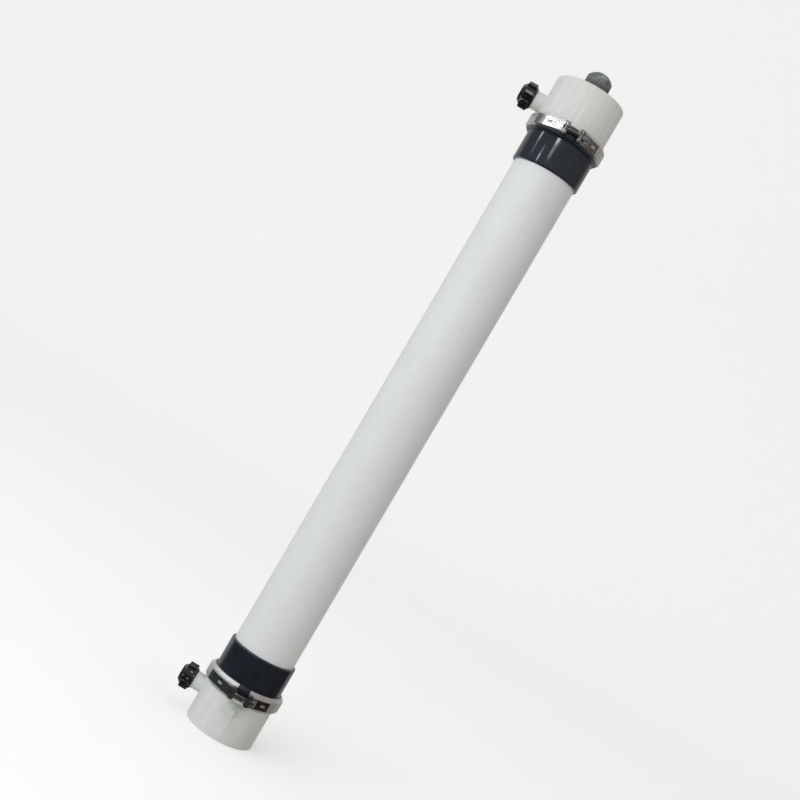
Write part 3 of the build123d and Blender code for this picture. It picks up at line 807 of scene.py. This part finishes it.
def add_ridge(bm, surface, crest, pitch, start, end, shift=0.0, steps_per_turn=40):
    """Spins one right-handed ridge about Z between two heights. Crest may be inward."""
    root_half, crest_half = ROOT_HALF_WIDTH * pitch, CREST_HALF_WIDTH * pitch
    low, high = start + root_half, end - root_half
    sunk = surface + (ROOT_DEPTH if crest < surface else -ROOT_DEPTH)
    section = ((sunk, -root_half), (crest, -crest_half), (crest, crest_half), (sunk, root_half))
    older = set(bm.verts)
    face = bm.faces.new([bm.verts.new((radius, 0, low + rise)) for radius, rise in section])
    first_turn = Matrix.Rotation(2 * pi * (low - shift) / pitch, 3, "Z")
    bmesh.ops.rotate(bm, cent=(0, 0, 0), matrix=first_turn, verts=face.verts)
    turns = (high - low) / pitch
    steps = int(turns * steps_per_turn)
    lift = (0, 0, (high - low) / steps)
    geometry = [*face.verts, *face.edges, face]
    bmesh.ops.spin(bm, geom=geometry, angle=2 * pi * turns, dvec=lift, steps=steps, **Z_AXIS)
    for vert in bm.verts:
        if vert in older:
            continue
        radius = vert.co.xy.length
        done = (vert.co.z - low) / pitch
        rise = max(0.05, min(1.0, 2 * done, 2 * (turns - done)))
        vert.co.xy *= (sunk + (radius - sunk) * rise) / radius


print(f"ridge: root {2 * ROOT_HALF_WIDTH:.0%} and crest {2 * CREST_HALF_WIDTH:.0%} of the pitch")

# %% [markdown]
# The side ports and the port on top carry pipe threads, and the screw caps carry the same
# thread inside. The solids are plain cylinders at the thread's core, which is where the
# collision is wanted. The caps' ridge points inward and is shifted by half a pitch, so it
# lies in the port's groove and stays clear of it while the cap unscrews.
# %% Port and cap threads

PORT_PITCH = 1.814 * MM
PORT_CORE = 12.1 * MM
PORT_CREST = 13.2 * MM
CAP_BORE = 13.4 * MM
CAP_CREST = PORT_CORE + 0.2 * MM
PERMEATE_PITCH = 2.309 * MM
PERMEATE_CORE = 15.2 * MM
PERMEATE_CREST = 16.6 * MM
# how far each thread stays clear of the two ends of its run
PORT_MARGINS = (0.2 * MM, 0.6 * MM)
CAP_MARGINS = (0.6 * MM, 0.5 * MM)
PERMEATE_MARGINS = (1.2 * MM, 1.0 * MM)

for end in ENDS:
    low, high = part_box(f"{end}_screw_cap")
    outward = frame_along((-1, 0, 0), (0, 0, (low.z + high.z) / 2))
    gasket = span(f"{end}_screw_cap_gasket", 0)
    bm = bmesh.new()
    first, last = -high.x + PORT_MARGINS[0], -gasket[1] - PORT_MARGINS[1]
    add_ridge(bm, PORT_CORE, PORT_CREST, PORT_PITCH, first, last)
    dress(finished_mesh(f"{end}_port_thread", bm, outward), "cap_plastic", "vessel")
    bm = bmesh.new()
    first, last = -high.x + CAP_MARGINS[0], -gasket[1] - CAP_MARGINS[1]
    add_ridge(bm, CAP_BORE, CAP_CREST, PORT_PITCH, first, last, shift=PORT_PITCH / 2)
    dress(finished_mesh(f"{end}_cap_thread", bm, outward), "screw_cap_plastic", f"{end}_cap")

bm = bmesh.new()
first = span("upper_end_cap", 2)[1] + PERMEATE_MARGINS[0]
last = span("permeate_fitting", 2)[1] - PERMEATE_MARGINS[1]
add_ridge(bm, PERMEATE_CORE, PERMEATE_CREST, PERMEATE_PITCH, first, last)
upright = frame_along((0, 0, 1), (0, 0, 0))
dress(finished_mesh("permeate_port_thread", bm, upright), "cap_plastic", "vessel")

# %% [markdown]
# Bars and bolts are turned on a lathe, and a bmesh can do the same: a line of radius and
# height points is spun once round Z, with the seam merged. A cylinder with bevelled ends
# would do for a plain rod, but a line also gives steps and chamfers of different sizes. The
# two points on the axis spin into many at one spot, which are welded, so the ends close.
# %% Turned solids


def spin_line(bm, profile, steps, closed=False):
    """Spins a line of (radius, height) points once round Z; returns the new vertices."""
    older = set(bm.verts)
    line = [bm.verts.new((radius, 0, height)) for radius, height in profile]
    edges = [bm.edges.new(pair) for pair in zip(line, line[1:])]
    if closed:
        edges.append(bm.edges.new((line[-1], line[0])))
    bmesh.ops.spin(bm, geom=line + edges, angle=2 * pi, steps=steps, use_merge=True, **Z_AXIS)
    return [vert for vert in bm.verts if vert not in older]


def add_turned(bm, profile, matrix=Matrix.Identity(4), sides=48):
    """Adds a solid turned from a line that starts and ends on Z."""
    turned = spin_line(bm, profile, sides)
    bmesh.ops.transform(bm, matrix=matrix, verts=turned)
    bmesh.ops.remove_doubles(bm, verts=turned, dist=0.001 * MM)


# %% [markdown]
# A T-bolt closes each clamp: a cross bar with chamfered ends sits in one strap loop, and a
# stepped shank passes to the nut at the other. Each of the two is a profile in radius and
# height. The points could be plain numbers, but they are written in the bolt's own sizes,
# so that bar, chamfer or thread can be changed by itself.
# %% Profiles of a T-bolt

BOLT_PITCH = 0.8 * MM
BOLT_RADIUS = 2.5 * MM
BOLT_CORE = 2.05 * MM
BOLT_CHAMFER = 0.4 * MM
BAR_RADIUS = 3.8 * MM
BAR_HALF = 8.9 * MM
BAR_CHAMFER = 0.6 * MM
BAR_SPACING = 23.4 * MM
BOLT_LENGTH = BAR_SPACING + 9.1 * MM
THREAD_START = 7.0 * MM
THREAD_END = BOLT_LENGTH - 0.3 * MM
BAR_PROFILE = (
    (0, -BAR_HALF),
    (BAR_RADIUS - BAR_CHAMFER, -BAR_HALF),
    (BAR_RADIUS, BAR_CHAMFER - BAR_HALF),
    (BAR_RADIUS, BAR_HALF - BAR_CHAMFER),
    (BAR_RADIUS - BAR_CHAMFER, BAR_HALF),
    (0, BAR_HALF),
)
SHANK_PROFILE = (
    (0, 0),
    (BOLT_RADIUS, 0),
    (BOLT_RADIUS, THREAD_START - BOLT_CHAMFER),
    (BOLT_CORE, THREAD_START),
    (BOLT_CORE, BOLT_LENGTH - BOLT_CHAMFER),
    (BOLT_CORE - BOLT_CHAMFER, BOLT_LENGTH),
    (0, BOLT_LENGTH),
)
print(f"T-bolt: bar {2 * BAR_HALF / MM:.1f} mm, shank {BOLT_LENGTH / MM:.1f} mm long")

# %% [markdown]
# The solid bolt has a plain shank, so a threaded one stands in for it, while the solid stays
# for collision. Its place could be measured on the solid, but the nut's joint tells it
# exactly: that joint's axis is the bolt's own, and its point lies on the far trunnion. The
# frame along that axis has its X up the vessel, so the cross bar stands upright.
# %% Threaded T-bolts

JOINTS = {joint["name"]: joint for joint in frame["record"]["behaviour"]["joints"]}
for end in ENDS:
    nut_spin = JOINTS[f"{end}_nut_spin"]
    axis = Vector(nut_spin["axis"])
    bar_centre = Vector(nut_spin["pos_m"]) - axis * BAR_SPACING
    bm = bmesh.new()
    add_turned(bm, BAR_PROFILE, Matrix.Rotation(pi / 2, 4, "Y"))
    add_turned(bm, SHANK_PROFILE)
    add_ridge(bm, BOLT_CORE, BOLT_RADIUS, BOLT_PITCH, THREAD_START, THREAD_END)
    piece = finished_mesh(f"{end}_t_bolt_threaded", bm, frame_along(axis, bar_centre))
    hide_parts(f"{end}_clamp_t_bolt")
    dress(piece, "stainless_bolt", "vessel")

# %% [markdown]
# When a collar is pushed over the wet cement on the pipe, a thin bead is squeezed out and
# dries there, ragged. It is a small triangle in the corner between collar and pipe, spun
# round once. A perfect ring would look machined, so each point's size then follows two
# sine waves of its angle, one slow and one quick.
# %% Cement beads

TUBE_RADIUS = span("housing_tube", 0)[1]
BEAD_WIDTH = 0.9 * MM
BEAD_HEIGHT = 0.7 * MM
BEAD_DEPTH_IN_PIPE = 0.05 * MM
BEAD_DEPTH_IN_COLLAR = 0.1 * MM
MEAN_SIZE = 0.75
# waves round the pipe, how strong, and where they start
WAVES = ((3, 0.15, 0.6), (17, 0.10, 0.0))
COLLAR_END_Z = {"upper": span("upper_collar", 2)[0], "lower": span("lower_collar", 2)[1]}
AWAY_FROM_COLLAR = {"upper": -1, "lower": 1}


def bead_mesh(name, height, away):
    """A ragged ring of three-cornered section in the angle between collar and pipe."""
    bm = bmesh.new()
    inner, base = TUBE_RADIUS - BEAD_DEPTH_IN_PIPE, -away * BEAD_DEPTH_IN_COLLAR
    corners = ((inner, base), (TUBE_RADIUS + BEAD_WIDTH, base), (inner, away * BEAD_HEIGHT))
    spin_line(bm, corners, steps=240, closed=True)
    for vert in bm.verts:
        angle = atan2(vert.co.y, vert.co.x)
        waves = [strength * sin(count * angle + start) for count, strength, start in WAVES]
        ragged = MEAN_SIZE + sum(waves)
        radius = vert.co.xy.length
        vert.co.xy *= (inner + (radius - inner) * ragged) / radius
        vert.co.z *= ragged
    return finished_mesh(name, bm, Matrix.Translation((0, 0, height)))


for end in ENDS:
    bead = bead_mesh(f"{end}_cement_bead", COLLAR_END_Z[end], AWAY_FROM_COLLAR[end])
    dress(bead, "collar_plastic", "vessel")

# %% [markdown]
# The camera stands half way up the vessel and looks down by about two degrees, which is
# why the photograph shows the top end a little larger than the bottom end. It is rolled so
# that the upright vessel leans to the right. The picture was cut off centre from a larger
# one. Turning the camera to aim off centre would bend the perspective, so the lens is
# shifted instead, to where that larger picture had its middle. The pixel places are in
# the picture turned upright, measured from its centre, and the lens follows from how many
# pixels a metre takes at the vessel.
# %% Lens and shift

IMAGE_SIZE = 800.0
SENSOR_MM = 36.0
CAMERA_DISTANCE = 1.680
PIXELS_PER_METRE = 743.3
EYE_HEIGHT = 0.505
EYE_ROW = 4.6
VESSEL_COLUMN = 10.8
PITCH = radians(2.08)
ROLL = radians(30.42)

focal_pixels = PIXELS_PER_METRE * CAMERA_DISTANCE * cos(PITCH) ** 2
axis_row = EYE_ROW + focal_pixels * sin(PITCH) / cos(PITCH)
camera_data = bpy.data.cameras.new("camera")
camera_data.sensor_width = SENSOR_MM
camera_data.lens = focal_pixels / IMAGE_SIZE * SENSOR_MM
camera_data.shift_x = (axis_row * sin(ROLL) - VESSEL_COLUMN * cos(ROLL)) / IMAGE_SIZE
camera_data.shift_y = (axis_row * cos(ROLL) + VESSEL_COLUMN * sin(ROLL)) / IMAGE_SIZE
camera_data.clip_start = 0.05
camera_data.clip_end = 60.0
print(f"lens {camera_data.lens:.1f} mm, shift {camera_data.shift_x:.3f} {camera_data.shift_y:.3f}")

# %% [markdown]
# Pitch and roll could be given as Euler angles, but their order matters and is easily
# mixed up. So the camera's own right and up are worked out as vectors and become the
# columns of its matrix, with the third one pointing back from the vessel.
# %% Camera

camera = bpy.data.objects.new("camera", camera_data)
bpy.context.scene.collection.objects.link(camera)
level_right = Vector((1.0, 0.0, 0.0))
level_up = Vector((0.0, sin(PITCH), cos(PITCH)))
right = level_right * cos(ROLL) + level_up * sin(ROLL)
up = level_up * cos(ROLL) - level_right * sin(ROLL)
turn = Matrix((right, up, right.cross(up))).transposed().to_4x4()
camera.matrix_world = Matrix.Translation((0.0, -CAMERA_DISTANCE, EYE_HEIGHT)) @ turn
bpy.context.scene.camera = camera
print(f"camera {CAMERA_DISTANCE:.2f} m away, {EYE_HEIGHT:.3f} m up")

# %% [markdown]
# One pale sheet is floor and backdrop: flat under the vessel, then swept up behind it. A
# floor and a wall would show a line where they meet, so the corner is bevelled into a large
# arc.
# %% Floor and backdrop

FLOOR_REACH = 7.0
SWEEP_RADIUS = 1.6
WALL_Y = 3.8
WALL_TOP = 6.0


def sweep_mesh():
    """Three points in profile, drawn out sideways, with the corner bevelled into an arc."""
    bm = bmesh.new()
    corners = ((-FLOOR_REACH, 0), (WALL_Y, 0), (WALL_Y, WALL_TOP))
    line = [bm.verts.new((-FLOOR_REACH, y, z)) for y, z in corners]
    edges = [bm.edges.new(pair) for pair in zip(line, line[1:])]
    drawn = bmesh.ops.extrude_edge_only(bm, edges=edges)["geom"]
    far_side = [part for part in drawn if isinstance(part, bmesh.types.BMVert)]
    bmesh.ops.translate(bm, vec=(2 * FLOOR_REACH, 0, 0), verts=far_side)
    bmesh.ops.bevel(
        bm,
        geom=[edge for edge in bm.edges if edge.is_manifold],
        offset=SWEEP_RADIUS,
        affect="EDGES",
        segments=24,
        profile=0.5,
        material=-1,
    )
    for face in bm.faces:
        face.smooth = True
    mesh = bpy.data.meshes.new("stage_sweep")
    bm.to_mesh(mesh)
    bm.free()
    return mesh


sweep = bpy.data.objects.new("stage_sweep", sweep_mesh())
bpy.context.scene.collection.objects.link(sweep)
sweep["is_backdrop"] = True
print(f"sheet of {len(sweep.data.polygons)} faces")

# %% [markdown]
# The picture wants a nearly white ground, but a brighter sheet would light the vessel too,
# so it glows faintly for camera rays alone, and the shadow stays. Shiny surfaces don't see
# the sheet at all, they see the room that is drawn in the world below.
# %% Paper of the sheet

SHEET_WHITE = (0.84, 0.84, 0.84, 1.0)
SHEET_GLOW = 0.29


def stage_material():
    material = bpy.data.materials.new("stage_paper")
    material.use_nodes = True
    graph = Graph(material.node_tree)
    camera_ray = graph.node("ShaderNodeLightPath", output="Is Camera Ray")
    paper = graph.node("ShaderNodeBsdfDiffuse", None, {"Color": SHEET_WHITE})
    glow = graph.node("ShaderNodeEmission", None, {"Strength": camera_ray * SHEET_GLOW})
    both = graph.node("ShaderNodeAddShader", None, {0: paper, 1: glow})
    graph.node("ShaderNodeOutputMaterial", None, {"Surface": both})
    return material


sweep.data.materials.append(stage_material())
sweep.visible_glossy = False
print(f"sheet glows by {SHEET_GLOW} for the camera")

# %% [markdown]
# Soft light needs large lamps. The daylight in the world does most of the work, and one
# broad panel at the left front gives the vessel its round shading, with a weak warm one at
# the right to hold the far side up. A spot or a sun would cast hard edges that the
# photograph doesn't have. Both panels are hidden from mirrors, where they would show as
# white squares.
# %% Soft panels

VESSEL_MIDDLE = (0.0, 0.0, MID_HEIGHT)


def area_light(name, place, target, size, power, colour=(1.0, 1.0, 1.0)):
    data = bpy.data.lights.new(name, "AREA")
    data.shape = "RECTANGLE"
    data.size, data.size_y = size
    data.energy = power
    data.color = colour
    light = bpy.data.objects.new(name, data)
    bpy.context.scene.collection.objects.link(light)
    facing = (Vector(target) - Vector(place)).to_track_quat("-Z", "Y")
    light.matrix_world = Matrix.Translation(place) @ facing.to_matrix().to_4x4()
    return light


def polar(azimuth, distance, height):
    """A point at an angle in degrees from the front towards +X, a distance and a height."""
    angle = radians(azimuth)
    return distance * sin(angle), -distance * cos(angle), height


PANEL_HEIGHT = 1.2
# azimuth, distance, side and power of each panel, and its colour
PANELS = {
    "key_panel": (-38, 2.6, 2.2, 27.0, (0.97, 0.985, 1.0)),
    "fill_panel": (62, 3.0, 1.8, 3.0, (1.0, 0.96, 0.91)),
}
for name, (azimuth, distance, side, power, colour) in PANELS.items():
    place = polar(azimuth, distance, PANEL_HEIGHT)
    panel = area_light(name, place, VESSEL_MIDDLE, (side, side), power, colour)
    panel.visible_glossy = False
    print(f"{name}: {power} W at {azimuth} degrees")

# %% [markdown]
# Small lamps well above the camera draw thin white streaks down the upper collar, and a
# brighter patch on the clamp's tails. Painted on, they would stay put when the view
# changes, so they are real lamps that only mirrors see. A collar is a round mirror: a
# streak at some angle shows what stands at twice that angle. Its height follows too,
# because the line of sight that rises from the camera to the collar goes on rising as
# steeply after the mirror, out to the lamp. A lamp's power is its radiance times pi times
# its area.
# %% Streak lamps

LAMP_DISTANCE = 2.4
FLANGE_DEPTH = 4.6 * MM
COLLAR_RADIUS = span("upper_collar", 0)[1] - FLANGE_DEPTH

# azimuth on the collar and width in degrees, lowest and highest point, radiance
STREAKS = (
    (-8.6, 5.0, 0.8960, 0.9120, 12.0),
    (-8.6, 4.5, 0.8740, 0.8960, 3.2),
    (-38.2, 14.0, 0.9115, 0.9420, 1.05),
    (-38.2, 3.6, 0.9035, 0.9070, 7.5),
    (-38.4, 3.0, 0.8920, 0.9020, 8.0),
    (-38.4, 2.4, 0.8720, 0.8920, 1.8),
    (-23.2, 2.4, 0.8660, 0.8740, 10.0),
    (-23.2, 2.2, 0.8740, 0.8860, 3.0),
    (-3.8, 1.0, 0.8920, 0.9020, 2.5),
)


def mirrored_height(height):
    """Where the line of sight that meets the collar at a height ends up at the lamps."""
    rise = (height - EYE_HEIGHT) / (CAMERA_DISTANCE - COLLAR_RADIUS)
    return height + rise * LAMP_DISTANCE


def mirror_only(lamp):
    lamp.visible_diffuse = False
    lamp.visible_camera = False


for number, (azimuth, width, low, high, radiance) in enumerate(STREAKS):
    low, high = mirrored_height(low), mirrored_height(high)
    middle = (low + high) / 2
    size = (LAMP_DISTANCE * radians(2 * width), high - low)
    place = polar(2 * azimuth, LAMP_DISTANCE, middle)
    power = radiance * pi * size[0] * size[1]
    mirror_only(area_light(f"ceiling_lamp_{number}", place, (0.0, 0.0, middle), size, power))

lamp_heights = [mirrored_height(height) for streak in STREAKS for height in streak[2:4]]
print(f"streak lamps from {min(lamp_heights):.2f} to {max(lamp_heights):.2f} m high")

# %% [markdown]
# The lobes of the screw caps show a bright bar too. A wider streak lamp could give it, but
# that would widen the collar's streaks as well. So the bar has a small lamp of its own, a
# little higher than the others, which faces the foot of the vessel.
# %% Bar lamp

# azimuth, height, height that it faces, sides of its face, power
BAR_LAMP = (-4.5, 1.70, 0.10, (0.13, 0.24), 1.2)
azimuth, height, faced, size, power = BAR_LAMP
place = polar(azimuth, LAMP_DISTANCE, height)
mirror_only(area_light("bar_lamp", place, (0.0, 0.0, faced), size, power))
print(f"bar lamp: {power} W, {height:.2f} m high")

# %% [markdown]
# The world is what the vessel stands in. Its light and its reflections are kept apart,
# because one picture can't do both well. For matt surfaces it is plain daylight that comes
# from the left and fades to a warmer right. An even grey would leave the pipe looking flat.
# %% Daylight

# the tone at the left and at the right
DAYLIGHT = (0.84, 0.86, 0.88), (0.505, 0.482, 0.450)

world = bpy.data.worlds.new("world")
bpy.context.scene.world = world
world.use_nodes = True
sky = Graph(world.node_tree)
direction = sky.node("ShaderNodeTexCoord", output="Generated")
sky_x, sky_y, sky_z = sky.parts(direction)
daylight = sky.blend(sky_x.above(0.0, 1.7), *DAYLIGHT)
print(f"daylight: {DAYLIGHT[0]} at the left, {DAYLIGHT[1]} at the right")

# %% [markdown]
# Mirrors see a drawn room: a bright left wall and ceiling, a dimmer right side, a dark
# floor in front with some clutter, and white paper behind and below. A photographed room
# would need an image file, and on pieces this small and round a few tones with soft steps
# between them look the same.
# %% The mirrored room

# each pair is the tone at the left and at the right
WALLS = (0.37, 0.42, 0.50), (0.36, 0.36, 0.37)
CEILING = (1.0, 1.02, 1.03), (0.26, 0.25, 0.23)
DARK_FLOOR = (0.034, 0.045, 0.036), (0.045, 0.034, 0.026)
PAPER_BEHIND = (0.50, 0.51, 0.51), (0.44, 0.425, 0.405)
PAPER_BELOW = (0.55, 0.55, 0.54)
SIDE_WALLS = (0.16, 0.16, 0.17)
CLUTTER = (0.14, 0.13, 0.12)

right_side = sky_x.above(0.10, 0.35)
walls = sky.blend(right_side, *WALLS)
walls = sky.blend(sky_y.above(0.05, 0.9), walls, SIDE_WALLS)
ceiling = sky.blend(sky_x.above(-0.05, 0.5), *CEILING)
walls = sky.blend(sky_z.above(0.55, 0.2), walls, ceiling)
dark_floor = sky.blend(right_side, *DARK_FLOOR)
room = sky.blend(sky_z.above(0.0, 0.08), dark_floor, walls)
clutter = sky.noise(direction, 5.0, detail=2.0).above(0.58, 0.10)
room = sky.blend(clutter * 0.30, room, CLUTTER)

paper_tone = sky.blend(sky_x.above(0.0, 0.6), *PAPER_BEHIND)
room = sky.blend((sky_y - sky_x * 0.08).above(0.56, 0.10), room, paper_tone)
paper_below = (sky_z * -1.0).above(0.55, 0.25) * sky_x.size().above(0.72, 0.15)
room = sky.blend(paper_below, room, PAPER_BELOW)
print(f"mirrored room: {len(world.node_tree.nodes)} nodes so far")

# %% [markdown]
# The kind of ray says which of the two it meets: a glossy ray the room, any other ray the
# daylight, and a camera ray that passes the sheet's edge a plain pale tone. One colour for
# all rays would tie the light on the vessel to the look of the ground.
# %% What each ray meets

BEYOND_SHEET = (0.86, 0.86, 0.86)

mirror_ray = sky.node("ShaderNodeLightPath", output="Is Glossy Ray")
seen = sky.blend(mirror_ray, daylight, room)
seen = sky.blend(mirror_ray.other("Is Camera Ray"), seen, BEYOND_SHEET)
background = sky.node("ShaderNodeBackground", None, {"Color": seen, "Strength": 1.0})
sky.node("ShaderNodeOutputWorld", None, {"Surface": background})
bpy.context.scene.view_settings.view_transform = "Standard"
print(f"world: {len(world.node_tree.nodes)} nodes")

# %% [markdown]
# Dressing must not make the vessel larger.
# %% Finish


growth = max((dressed - solid).length for dressed, solid in zip(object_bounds(), cad_box))
print(f"the dressed box differs from the frame's by {growth / MM:.2f} mm")
